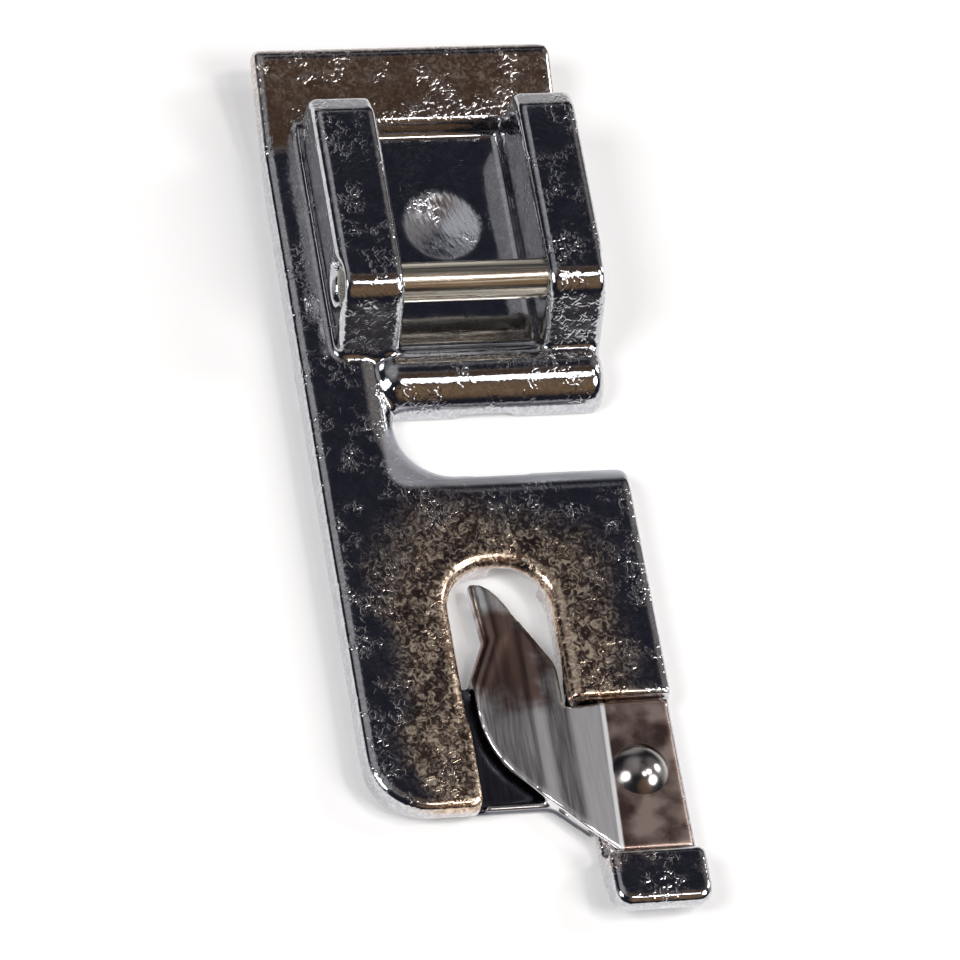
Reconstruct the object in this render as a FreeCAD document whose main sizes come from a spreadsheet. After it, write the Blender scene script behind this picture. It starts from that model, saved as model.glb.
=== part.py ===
import FreeCAD, Part
import Sketcher
import math
import os

# Clip-on rolled-hem presser foot of a sewing machine, in millimetres.
# It stands on its sole at z = 0, with its toes towards -Y and its heel towards +Y.
# Sizes across are taken from the left edge of the sole plate, and sizes along from the
# rear face of the two ears, so a reach is ahead of the ears and the heel is behind them.

SIZES = [
    # Sole plate
    ("plate_thickness", 1.7, "flat top of the sole plate above its sole"),
    ("rear_width", 15.6, "plate across the heel and the ears"),
    ("front_width", 15.8, "plate across the arch"),
    ("edge_radius", 0.38, "rounding of the outer edges of the plate"),
    ("heel_corner", 0.9, "right corner of the heel, seen from above"),
    ("front_corner", 0.8, "rear right corner of the plate ahead of the needle slot"),
    # Heel
    ("heel_length", 4.35, "heel behind the rear face of the ears"),
    ("heel_height", 2.89, "rear top corner of the heel before it is rounded"),
    ("heel_lift", 1.74, "rear bottom corner of the heel before it is rounded"),
    ("ramp_reach", 1.24, "where the flat top turns up into the ramp"),
    ("lift_reach", 2.7, "where the sole turns up under the heel"),
    ("ramp_bend", 6.0, "radius between the flat top and the ramp"),
    ("lift_bend", 8.0, "radius between the sole and the raised heel"),
    ("heel_top_radius", 0.65, "rear top edge of the heel"),
    ("heel_bottom_radius", 0.44, "rear bottom edge of the heel"),
    # Ears
    ("left_ear_inset", 1.94, "outer face of the left ear from the plate's left edge"),
    ("ear_thickness", 3.29, "left ear from outer to inner face"),
    ("ear_gap", 7.3, "channel between the ears, which takes the ankle"),
    ("ear_height", 5.08, "flat top of the ears above the sole"),
    ("ear_corner_run", 0.95, "bevel of the rear top corner, along the ear"),
    ("ear_corner_drop", 0.45, "bevel of the rear top corner, down the rear face"),
    ("ear_edge_radius", 0.42, "rounding of the long top edges"),
    ("ear_nose_radius", 1.5, "round brow between that top and front"),
    ("ear_brow_reach", 11.19, "where the ear's flat top would meet its sloping front"),
    ("ear_front_reach", 13.32, "foot of the ear's sloping front face"),
    ("ear_front_height", 1.6, "height of that foot above the sole"),
    ("floor_height", 0.9, "floor of the channel above the sole"),
    ("floor_edge_radius", 0.28, "rounded crest between the ramp and the channel"),
    # Cross pin
    ("pin_diameter", 2.0, "standard cross pin that the ankle clips on to"),
    ("pin_reach", 10.26, "pin ahead of the rear face of the ears"),
    ("pin_height", 3.73, "pin above the sole"),
    ("pin_recess", 0.3, "each pin end below the ear's outer face"),
    ("pin_fit", 0.01, "clearance of the pin in its bores, on the radius"),
    ("pin_end_bevel", 0.15, "bevel of the pin's two ends"),
    ("countersink", 0.36, "bevel at the mouth of each pin bore"),
    # Cross bar
    ("bar_radius", 1.95, "half-round bar behind the needle slot"),
    ("bar_reach", 14.15, "crown of the bar"),
    ("bar_left", 3.6, "left end of the bar, inside the side rail"),
    ("bar_end_inset", 0.05, "right end of the bar inside the right ear's outer face"),
    ("bar_root_radius", 1.3, "rounded left end, where the bar leaves the rail"),
    ("bar_end_radius", 0.75, "rounded right end of the bar"),
    # Needle slot
    ("slot_left", 4.6, "closed left end of the needle slot"),
    ("slot_front_reach", 19.5, "front wall of the needle slot"),
    ("slot_corner", 2.6, "corner of the slot's closed end, seen from above"),
    ("slot_edge_radius", 1.6, "soft rounding of the slot's top edge"),
    ("slot_rear_gap", 0.25, "rear wall of the slot ahead of the bar"),
    # Arch between the toes
    ("arch_left", 5.45, "left wall of the arch"),
    ("arch_right", 10.6, "right wall of the arch"),
    ("arch_reach", 25.0, "rear wall of the arch"),
    ("arch_corner", 2.3, "round rear corners of the arch"),
    ("arch_edge_radius", 0.62, "rounding of the arch's top edge"),
    # Left toe
    ("left_toe_reach", 38.0, "front of the left toe"),
    ("left_toe_corner", 3.0, "outer front corner of the left toe"),
    ("land_rear_reach", 31.9, "where the square land of the toe's inner edge begins"),
    ("land_full_reach", 33.6, "where that land has its full width"),
    ("land_width", 0.8, "width of the land"),
    ("toe_lift", 0.5, "upturn under the front of the left toe"),
    ("toe_lift_run", 1.7, "length of that upturn"),
    ("toe_lift_bend", 2.04, "radius of that upturn"),
    # Right toe
    ("right_toe_left", 11.0, "inner wall of the right toe"),
    ("toe_jog", 0.4, "length over which the inner wall steps out, ahead of the seat"),
    ("seat_reach", 32.5, "step down to the seat of the tab"),
    ("seat_height", 1.0, "seat of the tab above the sole"),
    ("seat_slope_height", 0.55, "foot of the slope under the scroll's leaf, above the sole"),
    ("seat_slope_across", 10.3, "foot of that slope from the left edge"),
    ("nose_rear_reach", 40.65, "rear face of the raised nose"),
    ("nose_reach", 43.6, "front of the nose"),
    ("nose_overhang", 0.15, "right side of the nose outside the plate's right edge"),
    ("nose_height", 1.9, "top of the nose above the sole"),
    ("nose_lift", 0.95, "upturn under the front of the nose"),
    ("nose_lift_run", 2.3, "length of that upturn"),
    ("nose_lift_bend", 2.76, "radius of that upturn"),
    ("nose_corner", 0.8, "front corners of the nose, seen from above"),
    ("nose_rear_corner", 0.45, "rear corners of the nose, seen from above"),
    ("nose_edge", 0.4, "rounding of the nose's top edge"),
    # Marks in the floor and sole
    ("dimple_across", 8.75, "centre of the drilled dimple from the left edge"),
    ("dimple_reach", 5.4, "centre of the dimple ahead of the rear face of the ears"),
    ("dimple_diameter", 4.1, "mouth of the dimple"),
    ("dimple_depth", 0.4, "dimple below the channel floor"),
    ("tunnel_left", 8.0, "left wall of the hem tunnel in the sole"),
    ("tunnel_width", 2.8, "hem tunnel from wall to wall"),
    ("tunnel_depth", 1.0, "hem tunnel between the arch and the needle slot"),
    ("tunnel_rear_depth", 0.3, "hem tunnel behind the needle slot"),
    ("tunnel_rear_reach", 3.4, "rear end of the hem tunnel"),
    # Hem scroll
    ("sheet", 0.32, "thickness of the scroll's sheet metal"),
    ("fold_radius", 0.62, "outside radius of the fold"),
    ("fold_shoulder", 0.9, "from the fold's outside to the bend into the upper leaf"),
    ("fold_rear_left", 6.7, "outside of the fold at its rear end"),
    ("fold_waist_run", 3.1, "from the tip to the fold's waist, where it begins to flare to the left"),
    ("fold_waist_left", 6.95, "outside of the fold at its waist"),
    ("fold_front_left", 1.5, "outside of the flare, carried on to the front of the tab"),
    ("tip_gap", 0.7, "rear tip of the scroll ahead of the arch's rear wall"),
    ("fold_run", 5.0, "length of the fold ahead of the tip"),
    ("fold_end_across", 6.05, "outside of the fold at its front end"),
    ("valley_across", 8.6, "shallow hollow of the upper leaf, from the left edge"),
    ("valley_height", 1.0, "top of the leaf in that hollow"),
    ("crest_across", 9.5, "crest of the upper leaf, from the left edge"),
    ("crest_height", 1.12, "top of the leaf at that crest"),
    ("rise_across", 10.5, "where the leaf starts to rise to the tab"),
    ("rise_height", 1.08, "top of the leaf there"),
    ("leaf_radius", 1.5, "soft bends of the upper leaf"),
    ("crest_radius", 1.0, "bend of the leaf over its crest"),
    ("bend_rear", 12.55, "bend line of the tab at the scroll's rear"),
    ("bend_skew", 0.65, "how far the bend line leans left over the scroll's length"),
    ("bend_radius", 1.0, "bend between leaf and tab"),
    ("tip_across", 6.9, "rear tip of the leaf, from the left edge"),
    ("rear_turn_across", 8.0, "bend of the leaf's rear edge, from the left edge"),
    ("rear_turn_run", 0.5, "bend of the leaf's rear edge, ahead of the tip"),
    ("rear_turn_radius", 2.5, "rounding of that bend"),
    ("rear_wall_setback", 2.1, "where the rear edge meets the arch's right wall, behind the seat"),
    ("rear_end_radius", 2.0, "rounding of the rear edge along that wall"),
    ("front_turn_across", 6.05, "bend of the leaf's front edge, from the left edge"),
    ("front_turn_run", 4.0, "bend of the leaf's front edge, ahead of the fold"),
    ("front_turn_radius", 5.0, "rounding of that bend"),
    ("front_end_across", 11.9, "where the front edge meets the tab"),
    ("front_end_radius", 0.6, "rounding of that corner"),
    ("tab_inset", 0.3, "tab's right edge inside the plate's right edge"),
    ("tab_clearance", 0.1, "gap at the tab's front and rear edges"),
    ("wall_clearance", 0.15, "gap between the scroll and the walls beside it"),
    ("leaf_left", 3.1, "left edge of the lower leaf, under the left toe"),
    ("leaf_corner", 1.0, "rear left corner of the lower leaf"),
    ("leaf_wing_run", 1.0, "rear edge of the lower leaf's left wing, behind the fold's front end"),
    ("leaf_front_reach", 37.75, "front edge of the lower leaf"),
    ("leaf_turn_across", 9.08, "where that front edge turns towards the nose"),
    ("leaf_point_reach", 39.3, "front point of the lower leaf, beside the nose"),
    ("leaf_step", 0.7, "lower leaf's rear edge ahead of the upper leaf's"),
    ("trim_gap", 0.02, "height above the lower leaf at which the upper leaf's trim begins"),
    ("leaf_recess_gap", 0.04, "gap between the lower leaf and the toe above it"),
    ("notch_width", 0.6, "relief notch beside the fold"),
    ("notch_depth", 0.35, "relief notch ahead of the fold"),
    ("lip_left", 5.75, "left end of the lower leaf's turned-up lip"),
    ("lip_height", 0.6, "top of the lip above the sole"),
    ("lip_bend", 0.8, "corner of the lip, seen from above"),
    # Rivet
    ("rivet_offset", 0.31, "rivet to the right of the middle between the toe's inner wall and the tab's edge"),
    ("rivet_setback", 0.265, "rivet behind the middle between the seat's step and the nose"),
    ("rivet_head", 2.75, "diameter of the domed head"),
    ("rivet_dome", 0.6, "height of the dome above the tab"),
    ("rivet_shank", 1.5, "diameter of the shank"),
    ("rivet_fit", 0.01, "clearance of the shank, on the radius"),
]

# Length by which cutting outlines pass the metal they cut
MARGIN = 1.0
# Straight line that stays between two bends, and the reach of a test for an edge
HAIR = 0.01

doc = FreeCAD.newDocument("presser_foot")
table = doc.addObject("Spreadsheet::Sheet", "Sizes")
for row, (alias, amount, note) in enumerate(SIZES, start=1):
    table.set("A%d" % row, alias)
    table.set("B%d" % row, str(amount))
    table.set("C%d" % row, note)
    table.setAlias("B%d" % row, alias)
doc.recompute()


class Size:
    """A length that knows its value and its formula in the sheet."""

    def __init__(self, value, text):
        self.value = value
        self.text = text

    def __add__(self, other):
        other = as_size(other)
        return Size(self.value + other.value, "(%s + %s)" % (self.text, other.text))

    def __sub__(self, other):
        other = as_size(other)
        return Size(self.value - other.value, "(%s - %s)" % (self.text, other.text))

    def __mul__(self, factor):
        return Size(self.value * factor, "(%s * %s)" % (self.text, factor))

    def __neg__(self):
        return Size(-self.value, "(0 - %s)" % self.text)


def largest(*lengths):
    """The greatest of several sizes."""
    text = "max(%s)" % "; ".join(length.text for length in lengths)
    return Size(max(length.value for length in lengths), text)


def as_size(number):
    """Give a bare number the form of a size."""
    if isinstance(number, Size):
        return number
    return Size(float(number), repr(float(number)))


class SizeNames:
    """Every size of the sheet as an attribute of its own name."""


size = SizeNames()
for alias, amount, note in SIZES:
    setattr(size, alias, Size(float(table.get(alias)), "Sizes." + alias))

ZERO = as_size(0)
left_ear_inner = size.left_ear_inset + size.ear_thickness
right_ear_inner = left_ear_inner + size.ear_gap
bar_right = size.rear_width - size.bar_end_inset
nose_right = size.front_width + size.nose_overhang
overall_width = largest(size.rear_width, nose_right)
channel_front = size.bar_reach - size.bar_radius + size.slot_rear_gap
pin_radius = size.pin_diameter * 0.5
tab_top = size.seat_height + size.sheet
tab_right = size.front_width - size.tab_inset
scroll_front_reach = size.nose_rear_reach - size.tab_clearance
tab_rear_reach = size.seat_reach + size.tab_clearance
scroll_rear_reach = size.arch_reach + size.tip_gap
fold_waist_reach = scroll_rear_reach + size.fold_waist_run
fold_front_reach = scroll_rear_reach + size.fold_run
rear_turn_reach = scroll_rear_reach + size.rear_turn_run
rear_wall_reach = size.seat_reach - size.rear_wall_setback
front_turn_reach = fold_front_reach + size.front_turn_run
leaf_rear_reach = fold_front_reach - size.leaf_wing_run
rivet_across = (size.right_toe_left + tab_right) * 0.5 + size.rivet_offset
rivet_reach = (size.seat_reach + size.nose_rear_reach) * 0.5 - size.rivet_setback


def bind(item, prop, length):
    """Tie a property to its formula in the sheet."""
    item.setExpression(prop, as_size(length).text)


def origin_plane(body, role):
    """Find one of the body's own reference planes."""
    for item in body.Origin.OriginFeatures:
        if item.Role == role:
            return item
    raise RuntimeError("no plane " + role)


def new_body(name):
    body = doc.addObject("PartDesign::Body", name)
    body.Label = name
    return body


def new_sketch(body, name, role, offset=ZERO):
    """Open a sketch on a reference plane, moved along the plane's normal."""
    sketch = body.newObject("Sketcher::SketchObject", name)
    sketch.AttachmentSupport = [(origin_plane(body, role), "")]
    sketch.MapMode = "FlatFace"
    bind(sketch, "AttachmentOffset.Base.z", offset)
    return sketch


def pin_down(sketch, geometry, point, x, y):
    """Fix one sketch point at its two distances from the sketch's origin."""
    for kind, reach in (("DistanceX", as_size(x)), ("DistanceY", as_size(y))):
        limit = Sketcher.Constraint(kind, -1, 1, geometry, point, reach.value)
        index = sketch.addConstraint(limit)
        bind(sketch, "Constraints[%d]" % index, reach)


def draw_outline(sketch, corners):
    """Draw a closed outline. A corner is (x, y), or (x, y, radius) where it is rounded."""
    V = FreeCAD.Vector
    points = [V(as_size(c[0]).value, as_size(c[1]).value, 0) for c in corners]
    radii = [as_size(c[2]) if len(c) > 2 else None for c in corners]
    count = len(corners)
    starts, ends = [], []
    arcs = {}
    for i in range(count):
        if radii[i] is None:
            starts.append(points[i])
            ends.append(points[i])
            continue
        back = (points[i - 1] - points[i]).normalize()
        ahead = (points[(i + 1) % count] - points[i]).normalize()
        half = back.getAngle(ahead) / 2
        cut = radii[i].value / math.tan(half)
        centre = points[i] + (back + ahead).normalize() * (radii[i].value / math.sin(half))
        ends.append(points[i] + back * cut)
        starts.append(points[i] + ahead * cut)
        arcs[i] = centre
    lines = []
    for i in range(count):
        segment = Part.LineSegment(starts[i], ends[(i + 1) % count])
        lines.append(sketch.addGeometry(segment, False))
    for i in range(count):
        before = lines[i - 1]
        after = lines[i]
        x, y = as_size(corners[i][0]), as_size(corners[i][1])
        if radii[i] is None:
            sketch.addConstraint(Sketcher.Constraint("Coincident", before, 2, after, 1))
            pin_down(sketch, after, 1, x, y)
            continue
        centre = arcs[i]
        middle = centre + (points[i] - centre).normalize() * radii[i].value
        arc = sketch.addGeometry(Part.Arc(ends[i], middle, starts[i]), False)
        turn = (ends[i] - centre).cross(starts[i] - centre).z
        first, last = (1, 2) if turn > 0 else (2, 1)
        sketch.addConstraint(Sketcher.Constraint("Tangent", before, 2, arc, first))
        sketch.addConstraint(Sketcher.Constraint("Tangent", after, 1, arc, last))
        index = sketch.addConstraint(Sketcher.Constraint("Radius", arc, radii[i].value))
        bind(sketch, "Constraints[%d]" % index, radii[i])
        corner = sketch.addGeometry(Part.Point(points[i]), True)
        sketch.addConstraint(Sketcher.Constraint("PointOnObject", corner, 1, before))
        sketch.addConstraint(Sketcher.Constraint("PointOnObject", corner, 1, after))
        pin_down(sketch, corner, 1, x, y)


def draw_box(sketch, left, right, front, rear):
    """Draw a rectangle between four sides."""
    draw_outline(sketch, [(left, front), (right, front), (right, rear), (left, rear)])


def draw_frame(sketch):
    """Draw a rectangle well outside the whole foot, so that only an inner outline stays."""
    draw_box(sketch, as_size(-3 * MARGIN), overall_width + 3 * MARGIN,
             -(size.nose_reach + 3 * MARGIN), size.heel_length + 3 * MARGIN)


def draw_circle(sketch, x, y, radius):
    centre = FreeCAD.Vector(x.value, y.value, 0)
    circle = sketch.addGeometry(Part.Circle(centre, FreeCAD.Vector(0, 0, 1), radius.value), False)
    pin_down(sketch, circle, 3, x, y)
    index = sketch.addConstraint(Sketcher.Constraint("Radius", circle, radius.value))
    bind(sketch, "Constraints[%d]" % index, radius)


def add_axis(sketch, x1, y1, x2, y2):
    """Add a construction line to turn a profile about, and give its name."""
    start = FreeCAD.Vector(as_size(x1).value, as_size(y1).value, 0)
    end = FreeCAD.Vector(as_size(x2).value, as_size(y2).value, 0)
    count = sum(1 for i in range(sketch.GeometryCount)
                if sketch.getConstruction(i) and isinstance(sketch.Geometry[i], Part.LineSegment))
    line = sketch.addGeometry(Part.LineSegment(start, end), True)
    pin_down(sketch, line, 1, x1, y1)
    pin_down(sketch, line, 2, x2, y2)
    return "Axis%d" % count


def settle(feature):
    """Recompute and stop at once where a feature has failed."""
    doc.recompute()
    if "Invalid" in feature.State or "Error" in feature.State or feature.Shape.isNull():
        raise RuntimeError("failed: " + feature.Label)
    return feature


def pad(body, name, sketch, length):
    """Raise a sketch into metal."""
    feature = body.newObject("PartDesign::Pad", name)
    feature.Profile = sketch
    bind(feature, "Length", length)
    return settle(feature)


def cut(body, name, sketch, length=None):
    """Cut a sketch into the metal, right through where no length is given."""
    before = body.Shape.Volume
    feature = body.newObject("PartDesign::Pocket", name)
    feature.Profile = sketch
    feature.Reversed = True
    if length is None:
        feature.Type = "ThroughAll"
    else:
        bind(feature, "Length", length)
    settle(feature)
    if feature.Shape.Volume > before - 1e-6:
        raise RuntimeError("cuts nothing: " + name)
    return feature


def turn_away(body, name, sketch, axis):
    """Cut the metal that a sketch sweeps in a full turn."""
    before = body.Shape.Volume
    feature = body.newObject("PartDesign::Groove", name)
    feature.Profile = sketch
    feature.ReferenceAxis = (sketch, [axis])
    feature.Angle = 360
    settle(feature)
    if feature.Shape.Volume > before - 1e-6:
        raise RuntimeError("cuts nothing: " + name)
    return feature


def find_edges(shape, test):
    """Name the edges whose every sampled point passes the test."""
    names = []
    for number, edge in enumerate(shape.Edges, start=1):
        points = edge.discretize(5)
        if all(test(p) for p in points):
            names.append("Edge%d" % number)
    return names


def near(value, length):
    """Tell whether a coordinate lies at a size."""
    return abs(value - length.value) < 0.005


def soften(body, name, kind, amount, test):
    """Round or bevel the edges that pass the test."""
    base = body.Tip
    names = find_edges(base.Shape, test)
    if not names:
        raise RuntimeError("no edges: " + name)
    feature = body.newObject("PartDesign::" + kind, name)
    feature.Base = (base, names)
    bind(feature, "Radius" if kind == "Fillet" else "Size", amount)
    return settle(feature)


def make_plate(body):
    """Side profile of sole and heel, then the plan cut out of it."""
    side = new_sketch(body, "side_profile", "YZ_Plane", as_size(-MARGIN))
    front = -(size.nose_reach + MARGIN)
    draw_outline(side, [
        (front, ZERO),
        (-size.lift_reach, ZERO, size.lift_bend),
        (size.heel_length, size.heel_lift, size.heel_bottom_radius),
        (size.heel_length, size.heel_height, size.heel_top_radius),
        (-size.ramp_reach, size.plate_thickness, size.ramp_bend),
        (front, size.plate_thickness)])
    pad(body, "sole_plate", side, overall_width + 2 * MARGIN)

    plan = new_sketch(body, "plan_outline", "XY_Plane")
    rear = size.heel_length + MARGIN
    toe_end = -(size.nose_rear_reach + MARGIN)
    draw_outline(plan, [
        (ZERO, rear),
        (ZERO, -size.left_toe_reach, size.left_toe_corner),
        (size.arch_left, -size.left_toe_reach),
        (size.arch_left, -size.arch_reach, size.arch_corner),
        (size.arch_right, -size.arch_reach, size.arch_corner),
        (size.arch_right, -size.seat_reach),
        (size.right_toe_left, -size.seat_reach - size.toe_jog),
        (size.right_toe_left, toe_end),
        (size.front_width, toe_end),
        (size.front_width, -size.slot_front_reach),
        (size.slot_left, -size.slot_front_reach, size.slot_corner),
        (size.slot_left, -channel_front),
        (size.rear_width, -channel_front),
        (size.rear_width, rear)])
    draw_frame(plan)
    cut(body, "plan_trim", plan)


def round_plate(body):
    """Round the plate's edges while it is still a plain plate."""
    soften(body, "slot_edge", "Fillet", size.slot_edge_radius,
           lambda p: near(p.z, size.plate_thickness) and near(p.y, -size.slot_front_reach))
    soften(body, "arch_edge", "Fillet", size.arch_edge_radius,
           lambda p: near(p.z, size.plate_thickness) and near(p.y, -size.arch_reach))
    soften(body, "left_edges", "Fillet", size.edge_radius, lambda p: near(p.x, ZERO))
    soften(body, "right_rear_edges", "Fillet", size.edge_radius,
           lambda p: near(p.x, size.rear_width) and p.y > HAIR - channel_front.value)
    soften(body, "right_front_edges", "Fillet", size.edge_radius,
           lambda p: near(p.x, size.front_width) and p.z > HAIR)


def round_corners(body):
    """Round two right corners of the plate, seen from above."""
    for name, x, y, radius in (
            ("heel_corner_round", size.rear_width, size.heel_length, size.heel_corner),
            ("front_corner_round", size.front_width, -size.slot_front_reach, size.front_corner)):
        corner = new_sketch(body, name + "_outline", "XY_Plane")
        reach = radius + MARGIN
        draw_outline(corner, [
            (x - reach, y),
            (x, y, radius),
            (x, y - reach),
            (x + MARGIN, y - reach),
            (x + MARGIN, y + MARGIN),
            (x - reach, y + MARGIN)])
        cut(body, name, corner)


def cut_channel(body):
    """Lower the floor between the ears and round the crest behind it."""
    floor = new_sketch(body, "channel_outline", "XY_Plane", size.floor_height)
    draw_box(floor, left_ear_inner, right_ear_inner, -(channel_front + MARGIN), ZERO)
    cut(body, "channel", floor)
    soften(body, "channel_crest", "Fillet", size.floor_edge_radius,
           lambda p: near(p.y, ZERO) and p.z > size.plate_thickness.value
           and left_ear_inner.value < p.x + HAIR < right_ear_inner.value + 2 * HAIR)


def raise_ears(body):
    """Raise the two ears from one side outline and bevel their edges."""
    foot_height = size.floor_height
    for name, start, end in (("left_ear", size.left_ear_inset, left_ear_inner),
                             ("right_ear", right_ear_inner, size.rear_width)):
        side = new_sketch(body, name + "_outline", "YZ_Plane", start)
        draw_outline(side, [
            (ZERO, foot_height),
            (ZERO, size.ear_height - size.ear_corner_drop),
            (-size.ear_corner_run, size.ear_height),
            (-size.ear_brow_reach, size.ear_height, size.ear_nose_radius),
            (-size.ear_front_reach, size.ear_front_height),
            (-size.ear_front_reach, foot_height)])
        pad(body, name, side, end - start)
    faces = (size.left_ear_inset, left_ear_inner, right_ear_inner, size.rear_width)
    shoulder = size.ear_height.value - size.ear_corner_drop.value - HAIR
    soften(body, "ear_edges", "Fillet", size.ear_edge_radius,
           lambda p: any(near(p.x, face) for face in faces)
           and (p.z > shoulder or p.y < -size.ear_brow_reach.value
                and p.z > size.ear_front_height.value - HAIR))


def add_bar(body):
    """Turn the half-round bar behind the needle slot, with its rounded ends."""
    profile = new_sketch(body, "bar_profile", "XY_Plane")
    draw_outline(profile, [
        (size.bar_left, -size.bar_reach),
        (bar_right, -size.bar_reach),
        (bar_right, -size.bar_reach + size.bar_radius, size.bar_end_radius),
        (size.bar_left, -size.bar_reach + size.bar_radius, size.bar_root_radius)])
    bar = body.newObject("PartDesign::Revolution", "cross_bar")
    axis = add_axis(profile, size.bar_left, -size.bar_reach, bar_right, -size.bar_reach)
    bar.Profile = profile
    bar.ReferenceAxis = (profile, [axis])
    bar.Angle = 180
    bar.Reversed = False
    settle(bar)


def make_right_toe(body):
    """Lower the seat for the tab and set the raised nose in front of it."""
    seat = new_sketch(body, "seat_outline", "XY_Plane", size.seat_height)
    draw_box(seat, size.arch_right - MARGIN, size.front_width + MARGIN,
             -(size.nose_reach + MARGIN), -size.seat_reach)
    cut(body, "tab_seat", seat)
    soften(body, "seat_side_edge", "Fillet", size.edge_radius,
           lambda p: near(p.x, size.front_width) and p.y < HAIR - size.seat_reach.value
           and (near(p.z, size.seat_height) or near(p.z, ZERO)))
    nose = new_sketch(body, "nose_outline", "XY_Plane")
    rear = -size.nose_rear_reach
    front = -size.nose_reach
    draw_outline(nose, [
        (size.right_toe_left, front, size.nose_corner),
        (nose_right, front, size.nose_corner),
        (nose_right, rear, size.nose_rear_corner),
        (size.right_toe_left, rear, size.nose_rear_corner)])
    pad(body, "nose", nose, size.nose_height)
    soften(body, "nose_edge_round", "Fillet", size.nose_edge, lambda p: near(p.z, size.nose_height))


def lift_toes(body):
    """Turn up the underside of both toes, so that they ride over the fabric."""
    for name, left, right, reach, run, lift, bend in (
            ("left_toe_lift", as_size(-MARGIN), size.arch_left + MARGIN,
             size.left_toe_reach, size.toe_lift_run, size.toe_lift, size.toe_lift_bend),
            ("nose_underside", size.arch_right, nose_right + MARGIN,
             size.nose_reach, size.nose_lift_run, size.nose_lift, size.nose_lift_bend)):
        side = new_sketch(body, name + "_outline", "YZ_Plane", left)
        draw_outline(side, [
            (-reach + run, ZERO),
            (-reach + run, as_size(-MARGIN)),
            (-reach - MARGIN, as_size(-MARGIN)),
            (-reach - MARGIN, lift),
            (-reach, lift, bend)])
        cut(body, name, side, right - left)


def square_toe_land(body):
    """Square the left toe's inner top edge ahead of the arch, where its rounding stops."""
    land = new_sketch(body, "toe_land_outline", "XY_Plane", size.plate_thickness - size.land_width)
    front = -size.left_toe_reach + size.edge_radius
    draw_outline(land, [
        (size.arch_left - size.land_width, -size.land_rear_reach),
        (size.arch_left - size.land_width, front),
        (size.arch_left, front),
        (size.arch_left, -size.land_full_reach)])
    pad(body, "toe_land", land, size.land_width)


def bore_ears(body):
    """Bore both ears in one line for the cross pin and open the two mouths."""
    bore = new_sketch(body, "pin_bore_circle", "YZ_Plane", as_size(0))
    draw_circle(bore, -size.pin_reach, size.pin_height, pin_radius + size.pin_fit)
    cut(body, "pin_bore", bore)
    mouths = new_sketch(body, "bore_mouth_profiles", "XY_Plane", size.pin_height)
    axis = -size.pin_reach
    reach = pin_radius + size.pin_fit + size.countersink
    for face, side in ((size.left_ear_inset, 1), (size.rear_width, -1)):
        draw_outline(mouths, [
            (face - MARGIN * side, axis),
            (face + reach * side, axis),
            (face - MARGIN * side, axis + reach + MARGIN)])
    turn_away(body, "bore_mouths", mouths, add_axis(mouths, ZERO, axis, size.rear_width, axis))


def drill_dimple(body):
    """Turn the shallow cone of the dimple out of the channel floor."""
    profile = new_sketch(body, "dimple_profile", "XZ_Plane", size.dimple_reach)
    mouth = size.dimple_diameter * 0.5
    top = size.floor_height + size.dimple_depth
    draw_outline(profile, [
        (size.dimple_across, size.floor_height - size.dimple_depth),
        (size.dimple_across + mouth, size.floor_height),
        (size.dimple_across + mouth, top),
        (size.dimple_across, top)])
    axis = add_axis(profile, size.dimple_across, ZERO, size.dimple_across, top)
    turn_away(body, "dimple", profile, axis)


def cut_sole(body):
    """Cut the hem tunnel and the recess over the scroll's lower leaf into the sole."""
    right = size.tunnel_left + size.tunnel_width
    tunnel = new_sketch(body, "tunnel_outline", "XY_Plane")
    draw_box(tunnel, size.tunnel_left, right, -(size.arch_reach + MARGIN),
             -(size.slot_front_reach - MARGIN))
    cut(body, "tunnel", tunnel, size.tunnel_depth)
    rear_tunnel = new_sketch(body, "rear_tunnel_outline", "XY_Plane")
    draw_box(rear_tunnel, size.tunnel_left, right, -(size.bar_reach + size.bar_radius + MARGIN),
             -size.tunnel_rear_reach)
    cut(body, "rear_tunnel", rear_tunnel, size.tunnel_rear_depth)
    recess = new_sketch(body, "leaf_recess_outline", "XY_Plane")
    draw_box(recess, size.leaf_left - size.wall_clearance, size.arch_left + MARGIN,
             -(size.left_toe_reach + MARGIN), -leaf_rear_reach + size.wall_clearance)
    cut(body, "leaf_recess", recess, size.sheet + size.leaf_recess_gap)


def relieve_seat(body):
    """Slope the seat's inner edge, which the scroll's upper leaf passes over."""
    slope = new_sketch(body, "seat_slope_outline", "XZ_Plane", size.seat_reach)
    bend = size.bend_rear
    left = size.seat_slope_across
    draw_outline(slope, [
        (left, size.seat_slope_height),
        (bend, size.seat_height),
        (bend, size.seat_height + MARGIN),
        (left, size.seat_height + MARGIN)])
    cut(body, "seat_slope", slope, size.nose_rear_reach - size.seat_reach)


def bore_rivet(body):
    """Bore the right toe for the rivet's shank."""
    bore = new_sketch(body, "rivet_bore_circle", "XY_Plane")
    draw_circle(bore, rivet_across, -rivet_reach, size.rivet_shank * 0.5 + size.rivet_fit)
    cut(body, "rivet_bore", bore)


def make_foot():
    """Cast the body of the foot."""
    body = new_body("foot_body")
    for step in (make_plate, round_plate, round_corners, cut_channel, raise_ears, add_bar, make_right_toe,
                 lift_toes, square_toe_land, bore_ears, drill_dimple, cut_sole, relieve_seat,
                 bore_rivet):
        step(body)
    return body


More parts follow.
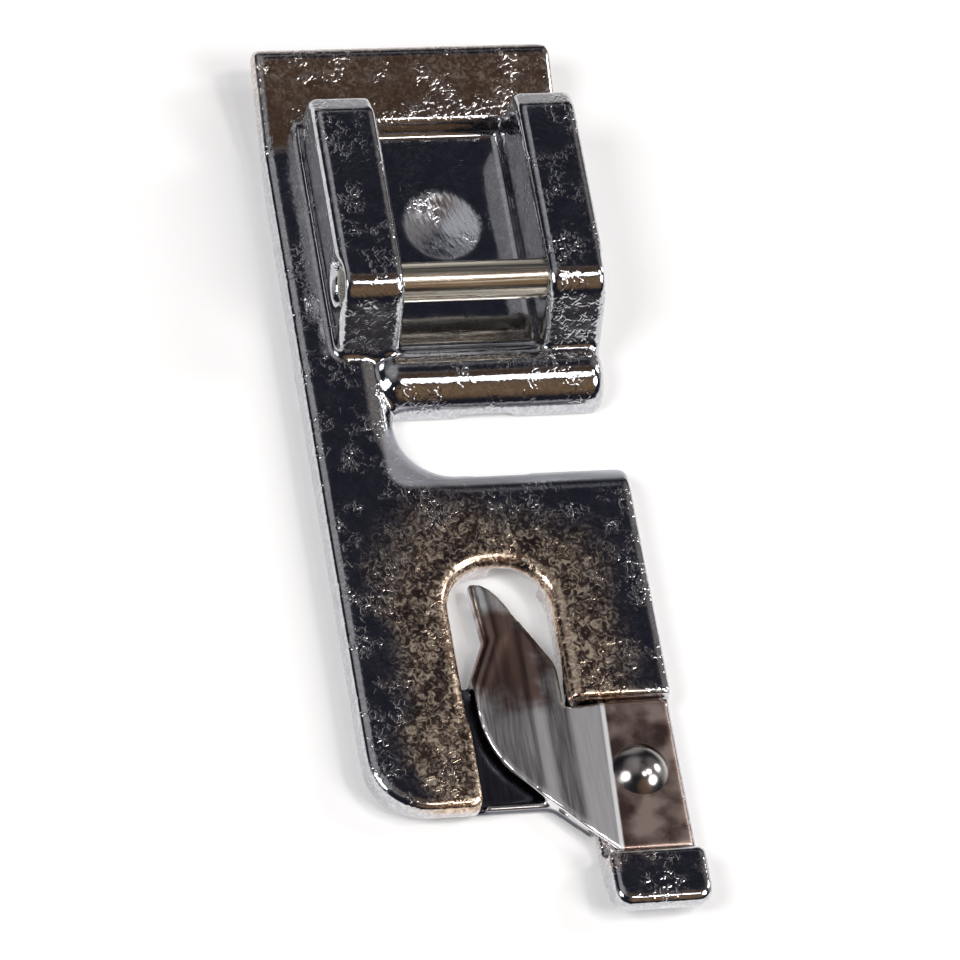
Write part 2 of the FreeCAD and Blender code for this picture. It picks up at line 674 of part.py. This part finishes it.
def make_pin():
    """Turn the cross pin, with its two ends broken and sunk below the ears."""
    body = new_body("cross_pin")
    left = size.left_ear_inset + size.pin_recess
    circle = new_sketch(body, "pin_circle", "YZ_Plane", left)
    draw_circle(circle, -size.pin_reach, size.pin_height, pin_radius)
    pad(body, "pin_bar", circle, size.rear_width - size.pin_recess - left)
    ends = (left, size.rear_width - size.pin_recess)
    soften(body, "pin_ends", "Chamfer", size.pin_end_bevel,
           lambda p: any(near(p.x, end) for end in ends))
    return body


def draw_scroll_section(sketch, fold_left, bend, lower_right):
    """Draw one section of the folded sheet, from the tab round the fold to the lower leaf."""
    sheet = size.sheet
    fold_top = size.fold_radius * 2
    outer = size.fold_radius - HAIR
    inner = size.fold_radius - sheet - HAIR
    shoulder = fold_left + size.fold_shoulder
    upper = [
        (tab_right, tab_top),
        (bend, tab_top, size.bend_radius),
        (size.rise_across, size.rise_height, size.leaf_radius),
        (size.crest_across, size.crest_height, size.crest_radius),
        (size.valley_across, size.valley_height, size.leaf_radius)]
    draw_outline(sketch, upper + [
        (shoulder, fold_top, size.leaf_radius),
        (fold_left, fold_top, outer),
        (fold_left, ZERO, outer),
        (lower_right, ZERO),
        (lower_right, sheet),
        (fold_left + sheet, sheet, inner),
        (fold_left + sheet, fold_top - sheet, inner),
        (shoulder, fold_top - sheet, size.leaf_radius)]
        + [(x, z - sheet, r) for x, z, r in reversed(upper[1:])]
        + [(tab_right, size.seat_height)])


def form_scroll(body):
    """Form the folded sheet through its sections at the rear tip, the fold's waist and the front."""
    bend_front = size.bend_rear - size.bend_skew
    waist_share = ((fold_waist_reach.value - scroll_rear_reach.value)
                   / (scroll_front_reach.value - scroll_rear_reach.value))
    sections = []
    for name, reach, fold_left, bend, lower_right in (
            ("rear_section", scroll_rear_reach, size.fold_rear_left,
             size.bend_rear, size.arch_right),
            ("waist_section", fold_waist_reach, size.fold_waist_left,
             size.bend_rear - size.bend_skew * waist_share, size.arch_right),
            ("front_section", scroll_front_reach, size.fold_front_left,
             bend_front, size.right_toe_left)):
        section = new_sketch(body, name, "XZ_Plane", reach)
        draw_scroll_section(section, fold_left, bend, lower_right - size.wall_clearance)
        sections.append(section)
    loft = body.newObject("PartDesign::AdditiveLoft", "folded_sheet")
    loft.Profile = sections[0]
    loft.Sections = sections[1:]
    loft.Ruled = True
    settle(loft)


def trim_scroll(body):
    """Trim the upper leaf and the tab, then the lower leaf, to their outlines."""
    upper = new_sketch(body, "upper_trim_outline", "XY_Plane", size.sheet + size.trim_gap)
    wall = size.arch_right - size.wall_clearance
    outside_fold = size.arch_left + size.wall_clearance
    draw_outline(upper, [
        (outside_fold, -fold_front_reach),
        (outside_fold, -scroll_rear_reach + MARGIN),
        (size.tip_across, -scroll_rear_reach + MARGIN),
        (size.tip_across, -scroll_rear_reach),
        (size.rear_turn_across, -rear_turn_reach, size.rear_turn_radius),
        (wall, -rear_wall_reach, size.rear_end_radius),
        (wall, -tab_rear_reach),
        (tab_right + MARGIN, -tab_rear_reach),
        (tab_right + MARGIN, -(scroll_front_reach + MARGIN)),
        (size.front_end_across, -(scroll_front_reach + MARGIN)),
        (size.front_end_across, -scroll_front_reach, size.front_end_radius),
        (size.front_turn_across, -front_turn_reach, size.front_turn_radius),
        (size.fold_end_across, -fold_front_reach)])
    draw_frame(upper)
    cut(body, "upper_trim", upper)

    lower = new_sketch(body, "lower_trim_outline", "XY_Plane", as_size(-MARGIN))
    inside = size.leaf_step
    draw_outline(lower, [
        (size.leaf_left, -size.leaf_front_reach),
        (size.leaf_left, -fold_front_reach),
        (outside_fold, -fold_front_reach),
        (outside_fold, -scroll_rear_reach + MARGIN),
        (size.tip_across, -scroll_rear_reach + MARGIN),
        (size.tip_across, -scroll_rear_reach - inside),
        (size.rear_turn_across, -rear_turn_reach - inside, size.rear_turn_radius),
        (wall, -rear_wall_reach - inside),
        (wall, -tab_rear_reach),
        (size.right_toe_left - size.wall_clearance, -tab_rear_reach - size.toe_jog * 2),
        (size.right_toe_left - size.wall_clearance, -size.leaf_point_reach),
        (size.leaf_turn_across, -size.leaf_front_reach)])
    draw_frame(lower)
    cut(body, "lower_trim", lower, size.sheet + MARGIN + size.trim_gap)


def add_leaf_wing(body):
    """Spread the lower leaf to the left under the left toe, past the notch by the fold."""
    wing = new_sketch(body, "leaf_wing_outline", "XY_Plane")
    notch_left = size.fold_end_across - size.notch_width
    notch_front = fold_front_reach + size.notch_depth
    inner = size.fold_waist_left + size.fold_radius
    draw_outline(wing, [
        (size.leaf_left, -leaf_rear_reach, size.leaf_corner),
        (size.leaf_left, -size.leaf_front_reach),
        (inner, -size.leaf_front_reach),
        (inner, -notch_front),
        (notch_left, -notch_front, size.notch_depth),
        (notch_left, -leaf_rear_reach)])
    pad(body, "leaf_wing", wing, size.sheet)


def turn_up_lip(body):
    """Turn up the front edge of the lower leaf, which guides the fabric into the fold."""
    lip = new_sketch(body, "lip_outline", "XY_Plane")
    point = size.right_toe_left - size.wall_clearance
    draw_outline(lip, [
        (size.lip_left, -size.leaf_front_reach),
        (size.leaf_turn_across, -size.leaf_front_reach, size.lip_bend),
        (point, -size.leaf_point_reach),
        (point, -size.leaf_point_reach + size.sheet * 1.4),
        (size.leaf_turn_across + size.sheet * 0.4, -size.leaf_front_reach + size.sheet, size.lip_bend),
        (size.lip_left, -size.leaf_front_reach + size.sheet)])
    pad(body, "lip", lip, size.lip_height)


def bore_tab(body):
    """Bore the tab for the rivet's shank."""
    bore = new_sketch(body, "tab_bore_circle", "XY_Plane")
    draw_circle(bore, rivet_across, -rivet_reach, size.rivet_shank * 0.5 + size.rivet_fit)
    cut(body, "tab_bore", bore)


def make_scroll():
    """Fold the hem scroll from one sheet."""
    body = new_body("hem_scroll")
    for step in (form_scroll, trim_scroll, add_leaf_wing, turn_up_lip, bore_tab):
        step(body)
    return body


def make_rivet():
    """Turn the rivet: a shank through tab and toe under a domed head."""
    body = new_body("scroll_rivet")
    profile = new_sketch(body, "rivet_profile", "XZ_Plane", rivet_reach)
    centre = rivet_across
    shank = centre + size.rivet_shank * 0.5
    rim = centre + size.rivet_head * 0.5
    crown = tab_top + size.rivet_dome
    corners = [(centre, crown), (centre, ZERO), (shank, ZERO), (shank, tab_top), (rim, tab_top)]
    points = [FreeCAD.Vector(x.value, z.value, 0) for x, z in corners]
    for i in range(4):
        line = profile.addGeometry(Part.LineSegment(points[i], points[i + 1]), False)
        pin_down(profile, line, 1, corners[i][0], corners[i][1])
        if i:
            profile.addConstraint(Sketcher.Constraint("Coincident", line - 1, 2, line, 1))
    head_radius = size.rivet_head.value / 2
    ball = (head_radius ** 2 + size.rivet_dome.value ** 2) / (2 * size.rivet_dome.value)
    middle = points[0] + FreeCAD.Vector(0, -ball, 0)
    turn = math.asin(head_radius / ball) / 2
    halfway = middle + FreeCAD.Vector(math.sin(turn), math.cos(turn), 0) * ball
    dome = profile.addGeometry(Part.Arc(points[4], halfway, points[0]), False)
    pin_down(profile, 3, 2, corners[4][0], corners[4][1])
    profile.addConstraint(Sketcher.Constraint("Coincident", dome, 1, 3, 2))
    profile.addConstraint(Sketcher.Constraint("Perpendicular", dome, 2, 0, 1))
    axis = add_axis(profile, centre, ZERO, centre, crown)
    turned = body.newObject("PartDesign::Revolution", "rivet")
    turned.Profile = profile
    turned.ReferenceAxis = (profile, [axis])
    turned.Angle = 360
    settle(turned)
    return body


bodies = [make_foot(), make_pin(), make_scroll(), make_rivet()]
for body in bodies:
    bind(body, "Placement.Base.x", -overall_width * 0.5)
    bind(body, "Placement.Base.y", (size.nose_reach - size.heel_length) * 0.5)
doc.recompute()

for item in doc.Objects:
    if "Invalid" in item.State or "Error" in item.State:
        raise RuntimeError("failed: " + item.Label)
for body in bodies:
    if body.Shape.isNull() or not body.Shape.isValid() or len(body.Shape.Solids) != 1:
        raise RuntimeError("bad shape: " + body.Label)

os.makedirs("parts", exist_ok=True)
for body in bodies:
    body.Shape.exportStep("parts/%s.step" % body.Label)
    print(body.Label, round(body.Shape.Volume, 3), "mm3")
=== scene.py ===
import math

import bpy
from mathutils import Matrix, Vector


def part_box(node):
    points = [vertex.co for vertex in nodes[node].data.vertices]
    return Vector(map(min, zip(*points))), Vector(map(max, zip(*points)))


MM = 0.001
X, Y, Z = 0, 1, 2

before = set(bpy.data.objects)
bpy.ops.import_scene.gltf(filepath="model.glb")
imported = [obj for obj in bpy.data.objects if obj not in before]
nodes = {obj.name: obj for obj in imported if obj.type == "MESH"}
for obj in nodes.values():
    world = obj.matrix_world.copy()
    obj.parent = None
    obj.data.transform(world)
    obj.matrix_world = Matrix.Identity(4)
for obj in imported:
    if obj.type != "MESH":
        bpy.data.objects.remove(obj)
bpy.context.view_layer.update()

# The camera stands above the foot's front left, with a long lens.
CAMERA_AT = Vector((-79.03, -138.09, 262.98)) * MM
CAMERA_RIGHT = Vector((0.96491, -0.16016, 0.20809))
CAMERA_UP = Vector((0.04342, 0.87888, 0.47507))
SENSOR_MM = 36.0
LENS_SHARE = 6.4812
NEAREST_M = 0.01
FARTHEST_M = 20.0


def add_camera():
    data = bpy.data.cameras.new("camera")
    data.sensor_width = SENSOR_MM
    data.lens = LENS_SHARE * SENSOR_MM
    data.clip_start = NEAREST_M
    data.clip_end = FARTHEST_M
    camera = bpy.data.objects.new("camera", data)
    bpy.context.collection.objects.link(camera)
    right = CAMERA_RIGHT.normalized()
    back = right.cross(CAMERA_UP).normalized()
    turn = Matrix((right, back.cross(right), back)).transposed().to_4x4()
    camera.matrix_world = Matrix.Translation(CAMERA_AT) @ turn
    bpy.context.scene.camera = camera


add_camera()


class Tree:
    """A short way to write nodes."""

    def __init__(self, tree):
        self.tree = tree
        self.tree.nodes.clear()

    def add(self, kind, **settings):
        node = self.tree.nodes.new(kind)
        for name, value in settings.items():
            setattr(node, name, value)
        return node

    def link(self, a, b):
        if isinstance(a, (int, float)):
            b.default_value = a
        elif isinstance(a, tuple):
            b.default_value = (*a, 1.0)
        else:
            self.tree.links.new(a, b)

    def math(self, operation, *values):
        node = self.add("ShaderNodeMath", operation=operation)
        for value, socket in zip(values, node.inputs):
            self.link(value, socket)
        return node.outputs[0]

    def times(self, a, b):
        return self.math("MULTIPLY", a, b)

    def plus(self, a, b):
        return self.math("ADD", a, b)

    def less(self, a, b):
        return self.math("SUBTRACT", a, b)

    def ramp(self, value, low, high, to_low=0.0, to_high=1.0, smooth=False):
        """Carry the value from one range to another, with no overshoot."""
        node = self.add("ShaderNodeMapRange")
        if smooth:
            node.interpolation_type = "SMOOTHSTEP"
        node.inputs["From Min"].default_value = low
        node.inputs["From Max"].default_value = high
        node.inputs["To Min"].default_value = to_low
        node.inputs["To Max"].default_value = to_high
        self.link(value, node.inputs["Value"])
        return node.outputs["Result"]

    def mix(self, share, a, b):
        """Between two colours."""
        node = self.add("ShaderNodeMix", data_type="RGBA")
        for value, socket in zip((share, a, b), (0, 6, 7)):
            self.link(value, node.inputs[socket])
        return node.outputs[2]

    def blend(self, share, a, b):
        """Between two plain values."""
        node = self.add("ShaderNodeMix", data_type="FLOAT")
        for value, socket in zip((share, a, b), (0, 2, 3)):
            self.link(value, node.inputs[socket])
        return node.outputs[0]


class Surface(Tree):
    """A material: its nodes, its shader and the places on the part."""

    def __init__(self, name, metallic=None):
        self.material = bpy.data.materials.new(name)
        self.material.use_nodes = True
        super().__init__(self.material.node_tree)
        output = self.add("ShaderNodeOutputMaterial")
        self.shader = self.add("ShaderNodeBsdfPrincipled")
        self.link(self.shader.outputs["BSDF"], output.inputs["Surface"])
        self.place = self.add("ShaderNodeTexCoord").outputs["Object"]
        if metallic is not None:
            self.shader.inputs["Metallic"].default_value = metallic

    def set(self, name, value):
        """Give one of the shader's sockets a value or a colour, or the end of some nodes."""
        self.link(value, self.shader.inputs[name])

    def millimetres(self, axis):
        """One of the place's coordinates, in millimetres."""
        split = self.add("ShaderNodeSeparateXYZ")
        self.link(self.place, split.inputs[0])
        return self.math("DIVIDE", split.outputs[axis], MM)

    def noise(self, size_mm, detail=2.0, stretch=(1, 1, 1), distortion=0.0, turn=0.0):
        """Noise whose blobs are about size_mm across. The turn is in degrees."""
        mapping = self.add("ShaderNodeMapping", vector_type="TEXTURE")
        mapping.inputs["Scale"].default_value = [s * size_mm * MM for s in stretch]
        mapping.inputs["Rotation"].default_value = (0, 0, math.radians(turn))
        self.link(self.place, mapping.inputs["Vector"])
        noise = self.add("ShaderNodeTexNoise")
        noise.inputs["Scale"].default_value = 1.0
        noise.inputs["Detail"].default_value = detail
        noise.inputs["Distortion"].default_value = distortion
        self.link(mapping.outputs["Vector"], noise.inputs["Vector"])
        return noise.outputs["Fac"]

    def wander(self, noise, reach_mm):
        """Turn noise into a distance either way, for an uneven edge."""
        return self.times(self.less(noise, 0.5), reach_mm)

    def bump(self, height, depth_mm, below=None):
        node = self.add("ShaderNodeBump")
        node.inputs["Strength"].default_value = 1.0
        node.inputs["Distance"].default_value = depth_mm * MM
        self.link(height, node.inputs["Height"])
        if below is not None:
            self.link(below, node.inputs["Normal"])
        return node.outputs["Normal"]

    def outside_box(self, low, high):
        """Distance in millimetres from an upright box, given by its corners in the plan."""
        squares = []
        for axis in (X, Y):
            middle = (low[axis] + high[axis]) / 2
            half = (high[axis] - low[axis]) / 2
            across = self.math("ABSOLUTE", self.less(self.millimetres(axis), middle))
            out = self.math("MAXIMUM", self.less(across, half), 0.0)
            squares.append(self.times(out, out))
        return self.math("SQRT", self.plus(*squares))


# Noise stays near its middle, so its ramps start and end inside 0 to 1.
WIDE = (0.3, 0.7)

# Places on the foot in millimetres: right, towards the heel, and up from the sole.
ARCH = ((-2.5, -18.5), (2.6, -5.4))
SLOT = ((-3.4, 0.1), (8.5, 1.6))
CHANNEL = ((-2.7, 4.6), (4.5, 19.6))
CHANNEL_TOP = 1.2
DIMPLE_AT = (0.775, 14.225)
DIMPLE_RADIUS = 2.05
HEEL_START = 20.5
HEEL_BLEND = 2.0
HEEL_WEAR_AND_SHEEN = 0.4
WEAR_AND_SHEEN_ABOVE = 1.3
WEAR_AND_SHEEN_BLEND = 0.25
WALL_WEAR_AND_SHEEN = 0.25
ARCH_WEAR_AND_SHEEN_REACH = (1.6, 4.8)
WEAR_AND_SHEEN_WANDER = 6.0
SLOT_RUBBED_AND_SHEEN_REACH = (0.85, 1.25)
SLOT_PAINTED_SHEEN_SHARE = 0.42

PLATING = ((0.42, 0.42, 0.44), (0.54, 0.54, 0.56))
# The warm worn colours are a painted warm reflection; the real wear shows only as matte roughness.
WORN_PLATING_AND_SHEEN = ((0.38, 0.26, 0.20), (0.74, 0.62, 0.48))
# A pale grey band along the slot's edge: a painted pale reflection over real rubbing.
SLOT_PAINTED_SHEEN_GREY = (0.38, 0.39, 0.43)
DIMPLE_GREY = (0.70, 0.71, 0.76)

PEEL_HEIGHT = 0.20
DENT_HEIGHT = 0.45
SCRATCH_HEIGHT = 1.2
CHANNEL_CALM = 0.85
DIMPLE_ROUGH = 1.4
DENT_DEPTH = 0.028
RIPPLE_DEPTH = 0.05


def plated_casting():
    """Bright plating over a rippled casting: cold and dark, and round the arch and heel matte with
    wear and warm brown with a painted warm reflection.
    """
    s = Surface("plated_casting")
    up = s.millimetres(Z)
    wander = s.wander(s.noise(3.0, detail=3.0), WEAR_AND_SHEEN_WANDER)
    near_arch = s.plus(s.outside_box(*ARCH), wander)
    arch_wear_and_sheen = s.ramp(near_arch, *ARCH_WEAR_AND_SHEEN_REACH, 1.0, 0.0, smooth=True)
    towards_heel = s.plus(s.millimetres(Y), wander)
    heel_from, heel_to = HEEL_START - HEEL_BLEND, HEEL_START + HEEL_BLEND
    heel_wear_and_sheen = s.ramp(towards_heel, heel_from, heel_to, 0.0, HEEL_WEAR_AND_SHEEN)
    on_top = s.ramp(up, WEAR_AND_SHEEN_ABOVE - WEAR_AND_SHEEN_BLEND, WEAR_AND_SHEEN_ABOVE, WALL_WEAR_AND_SHEEN, 1.0)
    # Round the arch and heel the colour turns warm brown, a painted warm reflection over real
    # matte wear.
    wear_and_sheen = s.times(s.math("MAXIMUM", arch_wear_and_sheen, heel_wear_and_sheen), on_top)

    low = s.ramp(up, CHANNEL_TOP, CHANNEL_TOP + 0.3, 1.0, 0.0)
    channel = s.times(low, s.ramp(s.outside_box(*CHANNEL), 0.0, 0.5, 1.0, 0.0))
    from_dimple = s.outside_box(DIMPLE_AT, DIMPLE_AT)
    rim = (DIMPLE_RADIUS - 0.2, DIMPLE_RADIUS + 0.1)
    dimple = s.times(s.ramp(from_dimple, *rim, 1.0, 0.0), low)
    # Along the slot's edge the metal is paler grey and less metallic, a painted pale reflection;
    # the rubbing itself shows as roughness.
    rubbed_and_sheen = s.ramp(s.outside_box(*SLOT), *SLOT_RUBBED_AND_SHEEN_REACH, 1.0, 0.0, smooth=True)

    flecks = s.ramp(s.noise(0.34, detail=4.0, distortion=1.4), 0.42, 0.64)
    colour = s.mix(wear_and_sheen, s.mix(flecks, *PLATING), s.mix(flecks, *WORN_PLATING_AND_SHEEN))
    colour = s.mix(rubbed_and_sheen, colour, SLOT_PAINTED_SHEEN_GREY)
    s.set("Base Color", s.mix(dimple, colour, DIMPLE_GREY))

    bright = s.ramp(s.noise(0.9), *WIDE, 0.06, 0.12)
    dull = s.plus(s.ramp(flecks, 0.0, 1.0, 0.14, 0.33), s.ramp(s.noise(1.4), *WIDE, -0.03, 0.06))
    scratches = s.noise(0.16, stretch=(1, 7, 1), turn=20)
    rough = s.blend(rubbed_and_sheen, s.blend(wear_and_sheen, bright, dull), 0.36)
    s.set("Roughness", s.blend(dimple, rough, s.ramp(scratches, 0.35, 0.65, 0.10, 0.34)))
    s.set("Metallic", s.less(1.0, s.times(rubbed_and_sheen, SLOT_PAINTED_SHEEN_SHARE)))

    peel = s.noise(0.60, distortion=0.8)
    dents = s.ramp(s.noise(0.36, detail=1.0, distortion=1.2), 0.50, 0.66)
    patches = s.ramp(s.noise(1.6, detail=1.0), 0.46, 0.62, 0.10, 1.0)
    height = s.plus(s.times(peel, PEEL_HEIGHT), s.times(s.times(dents, patches), DENT_HEIGHT))
    calm = s.less(1.0, s.times(channel, CHANNEL_CALM))
    height = s.times(height, s.plus(calm, s.times(dimple, DIMPLE_ROUGH)))
    height = s.plus(height, s.times(s.times(scratches, dimple), SCRATCH_HEIGHT))
    ripple = s.bump(s.noise(4.0, detail=1.0), RIPPLE_DEPTH)
    s.set("Normal", s.bump(height, DENT_DEPTH, ripple))
    return s.material


WIRE = ((0.50, 0.44, 0.36), (0.74, 0.69, 0.58))


def drawn_steel():
    """Bright drawn wire with fine lengthwise lines."""
    s = Surface("pin_steel", metallic=1.0)
    lines = s.noise(0.10, stretch=(60, 1, 1))
    s.set("Base Color", s.mix(s.ramp(lines, *WIDE), *WIRE))
    s.set("Roughness", s.ramp(lines, *WIDE, 0.16, 0.30))
    s.set("Normal", s.bump(lines, 0.006))
    return s.material


RIVET = ((0.26, 0.23, 0.22), (0.40, 0.39, 0.38))


def rivet_steel():
    """Smooth plated steel with a few faint stains."""
    s = Surface("rivet_steel", metallic=1.0)
    s.set("Base Color", s.mix(s.ramp(s.noise(2.2), 0.35, 0.65), *RIVET))
    s.set("Roughness", s.ramp(s.noise(0.8), *WIDE, 0.14, 0.24))
    s.set("Normal", s.bump(s.noise(1.0), 0.006))
    return s.material


# The bend between leaf and tab runs from the scroll's front to its rear.
BEND_FRONT = 3.925
BEND_REAR = 4.575
BEND_HIGHLIGHT_WIDTH = (0.07, 0.16)
FOLD_SHADE_AT = (0.0, -10.2)
FOLD_SHADE_REACH = (1.6, 3.6)
FOLD_SHADE_WANDER = 5.0
LOWER_LEAF_SHADE_TOP = (0.42, 0.62)

LEAF = ((0.62, 0.60, 0.60), (0.74, 0.73, 0.73))
LEAF_PAINTED_SHADE = (0.20, 0.13, 0.11)
LOWER_LEAF_SHADE = (0.09, 0.09, 0.11)
TAB = ((0.30, 0.20, 0.17), (0.46, 0.36, 0.32))
PAINTED_BEND_HIGHLIGHT = (0.95, 0.95, 0.96)


def formed_sheet():
    """Brushed plated sheet: grey leaf with a painted brown shade by the fold, the lower leaf
    painted near-black as shade, a browner tab and a painted highlight along the bend.
    """
    s = Surface("sheet_steel", metallic=1.0)
    low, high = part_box("hem_scroll")
    bend = s.ramp(s.millimetres(Y), low[Y] / MM, high[Y] / MM, BEND_FRONT, BEND_REAR)
    past_bend = s.less(s.millimetres(X), bend)
    tab = s.ramp(past_bend, -0.05, 0.10)
    # A narrow pale, rougher line along the bend: a painted highlight.
    bend_highlight = s.ramp(s.math("ABSOLUTE", past_bend), *BEND_HIGHLIGHT_WIDTH, 1.0, 0.0)
    brushed = s.noise(0.14, detail=3.0, stretch=(1, 14, 4))
    cloud = s.noise(1.5, detail=3.0)
    clouded = (cloud, 0.38, 0.62)
    # A dark brown patch on the leaf by the fold: painted shade.
    from_fold_shade = s.plus(s.outside_box(FOLD_SHADE_AT, FOLD_SHADE_AT), s.wander(cloud, FOLD_SHADE_WANDER))
    fold_shade = s.ramp(from_fold_shade, *FOLD_SHADE_REACH, 1.0, 0.0, smooth=True)
    # The lower leaf is painted near-black: painted shade under the upper leaf.
    lower_leaf_shade = s.ramp(s.millimetres(Z), *LOWER_LEAF_SHADE_TOP, 1.0, 0.0)

    leaf = s.mix(fold_shade, s.mix(s.ramp(brushed, *WIDE), *LEAF), LEAF_PAINTED_SHADE)
    leaf = s.mix(lower_leaf_shade, leaf, LOWER_LEAF_SHADE)
    colour = s.mix(tab, leaf, s.mix(s.ramp(*clouded), *TAB))
    s.set("Base Color", s.mix(bend_highlight, colour, PAINTED_BEND_HIGHLIGHT))
    rough = s.blend(tab, s.ramp(brushed, *WIDE, 0.20, 0.27), s.ramp(*clouded, 0.22, 0.36))
    s.set("Roughness", s.blend(bend_highlight, rough, 0.5))
    s.set("Normal", s.bump(brushed, 0.0012))
    return s.material


def dress(name, material):
    for place in nodes[name].material_slots:
        place.material = material


def soften(name, voxel_mm, rounds):
    """Melt a piece's sharp edges as plating does: a fine skin over the solid, smoothed."""
    skin = nodes[name].modifiers.new("skin", "REMESH")
    skin.mode = "VOXEL"
    skin.voxel_size = voxel_mm * MM
    skin.use_smooth_shade = True
    ease = nodes[name].modifiers.new("ease", "SMOOTH")
    ease.factor = 0.5
    ease.iterations = rounds


dress("foot_body", plated_casting())
dress("cross_pin", drawn_steel())
dress("hem_scroll", formed_sheet())
dress("scroll_rivet", rivet_steel())
soften("foot_body", 0.145, 4)
soften("hem_scroll", 0.08, 24)

FLOOR_HALF = 0.6
FLOOR_WHITE = (0.92, 0.92, 0.92)
FLOOR_ROUGHNESS = 0.8
SHOWN_LIFT = 0.14
MIRRORED_LIFT = 0.40


def add_floor():
    """A pale floor that looks white to the camera and to the metal, and keeps the shadow."""
    corners = [(-1, -1), (1, -1), (1, 1), (-1, 1)]
    mesh = bpy.data.meshes.new("floor")
    mesh.from_pydata([(x * FLOOR_HALF, y * FLOOR_HALF, 0) for x, y in corners], [], [(0, 1, 2, 3)])
    floor = bpy.data.objects.new("floor", mesh)
    bpy.context.collection.objects.link(floor)
    s = Surface("floor")
    s.set("Base Color", FLOOR_WHITE)
    s.set("Roughness", FLOOR_ROUGHNESS)
    path = s.add("ShaderNodeLightPath")
    shown = s.times(path.outputs["Is Camera Ray"], SHOWN_LIFT)
    mirrored = s.times(path.outputs["Is Glossy Ray"], MIRRORED_LIFT)
    s.set("Emission Color", (1, 1, 1))
    s.set("Emission Strength", s.plus(shown, mirrored))
    mesh.materials.append(s.material)


add_floor()


def direction(azimuth, elevation):
    """Azimuth 0 is the heel's side and 90 the right side."""
    a, e = math.radians(azimuth), math.radians(elevation)
    return Vector((math.sin(a) * math.cos(e), math.cos(a) * math.cos(e), math.sin(e)))


# Soft round patches of light in the dark room that the metal mirrors:
# azimuth, elevation, and the angles inside which they are full and outside which they end.
ROOM = (0.020, 0.022, 0.034)
PATCHES = [
    (-20, 64, 6, 36, (0.46, 0.46, 0.47)),
    (31, 59, 5, 12, (0.024, 0.025, 0.038)),
    (155, 46, 8, 30, (0.26, 0.17, 0.10)),
    (70, 76, 4, 18, (0.10, 0.062, 0.04)),
    (58, 38, 8, 24, (0.26, 0.24, 0.23)),
    (80, 12, 8, 24, (0.35, 0.34, 0.33)),
    (-95, 6, 8, 34, (0.50, 0.50, 0.51)),
    (0, 4, 12, 30, (0.60, 0.60, 0.60)),
]
# A pale band low down all round, apart from the dark front. Its edges are heights, 1 overhead.
PALE_BAND = (0.80, 0.80, 0.80)
BAND_EDGES = (0.16, 0.02)
DARK_FRONT = (175, 0, 22, 50, (0.06, 0.055, 0.06))


def light_room():
    world = bpy.data.worlds.new("world")
    bpy.context.scene.world = world
    world.use_nodes = True
    room = Tree(world.node_tree)
    towards = room.add("ShaderNodeTexCoord").outputs["Generated"]

    def glow(below, azimuth, elevation, inner, outer, colour):
        aim = room.add("ShaderNodeVectorMath", operation="DOT_PRODUCT")
        room.link(towards, aim.inputs[0])
        aim.inputs[1].default_value = direction(azimuth, elevation)
        edges = (math.cos(math.radians(outer)), math.cos(math.radians(inner)))
        return room.mix(room.ramp(aim.outputs["Value"], *edges, smooth=True), below, colour)

    light = ROOM
    for patch in PATCHES:
        light = glow(light, *patch)
    split = room.add("ShaderNodeSeparateXYZ")
    room.link(towards, split.inputs[0])
    low_down = room.ramp(split.outputs["Z"], *BAND_EDGES, smooth=True)
    background = room.add("ShaderNodeBackground")
    wall = room.mix(low_down, light, glow(PALE_BAND, *DARK_FRONT))
    room.link(wall, background.inputs["Color"])
    room.link(background.outputs[0], room.add("ShaderNodeOutputWorld").inputs[0])


light_room()

LAMP_DISTANCE_MM = 600
WHITE = (1.0, 1.0, 1.0)
WARM_WHITE = (1.0, 0.98, 0.95)
# Name, azimuth, elevation, half the angle that the lamp fills, brightness of its face, colour.
LAMPS = [
    ("left", -100, 48, 13.0, 8.0, WHITE),
    ("right", 120, 42, 12.0, 8.0, WHITE),
    ("key", 95, 60, 5.0, 22.0, WARM_WHITE),
    ("window", 76, 30, 7.0, 12.0, WHITE),
    ("glint", 118, 72, 5.0, 10.0, WHITE),
]


def add_lamp(name, azimuth, elevation, half_angle, level, colour):
    """A round soft lamp that faces the part. At level 1 its face looks white."""
    data = bpy.data.lights.new(name, "AREA")
    data.shape = "DISK"
    data.size = 2 * LAMP_DISTANCE_MM * math.tan(math.radians(half_angle)) * MM
    data.energy = level * math.pi * math.pi * data.size ** 2 / 4
    data.color = colour
    lamp = bpy.data.objects.new(name, data)
    bpy.context.collection.objects.link(lamp)
    lamp.location = direction(azimuth, elevation) * LAMP_DISTANCE_MM * MM
    lamp.rotation_mode = "QUATERNION"
    lamp.rotation_quaternion = (-lamp.location).to_track_quat("-Z", "Y")


for lamp in LAMPS:
    add_lamp(*lamp)

bpy.context.scene.view_settings.view_transform = "Standard"
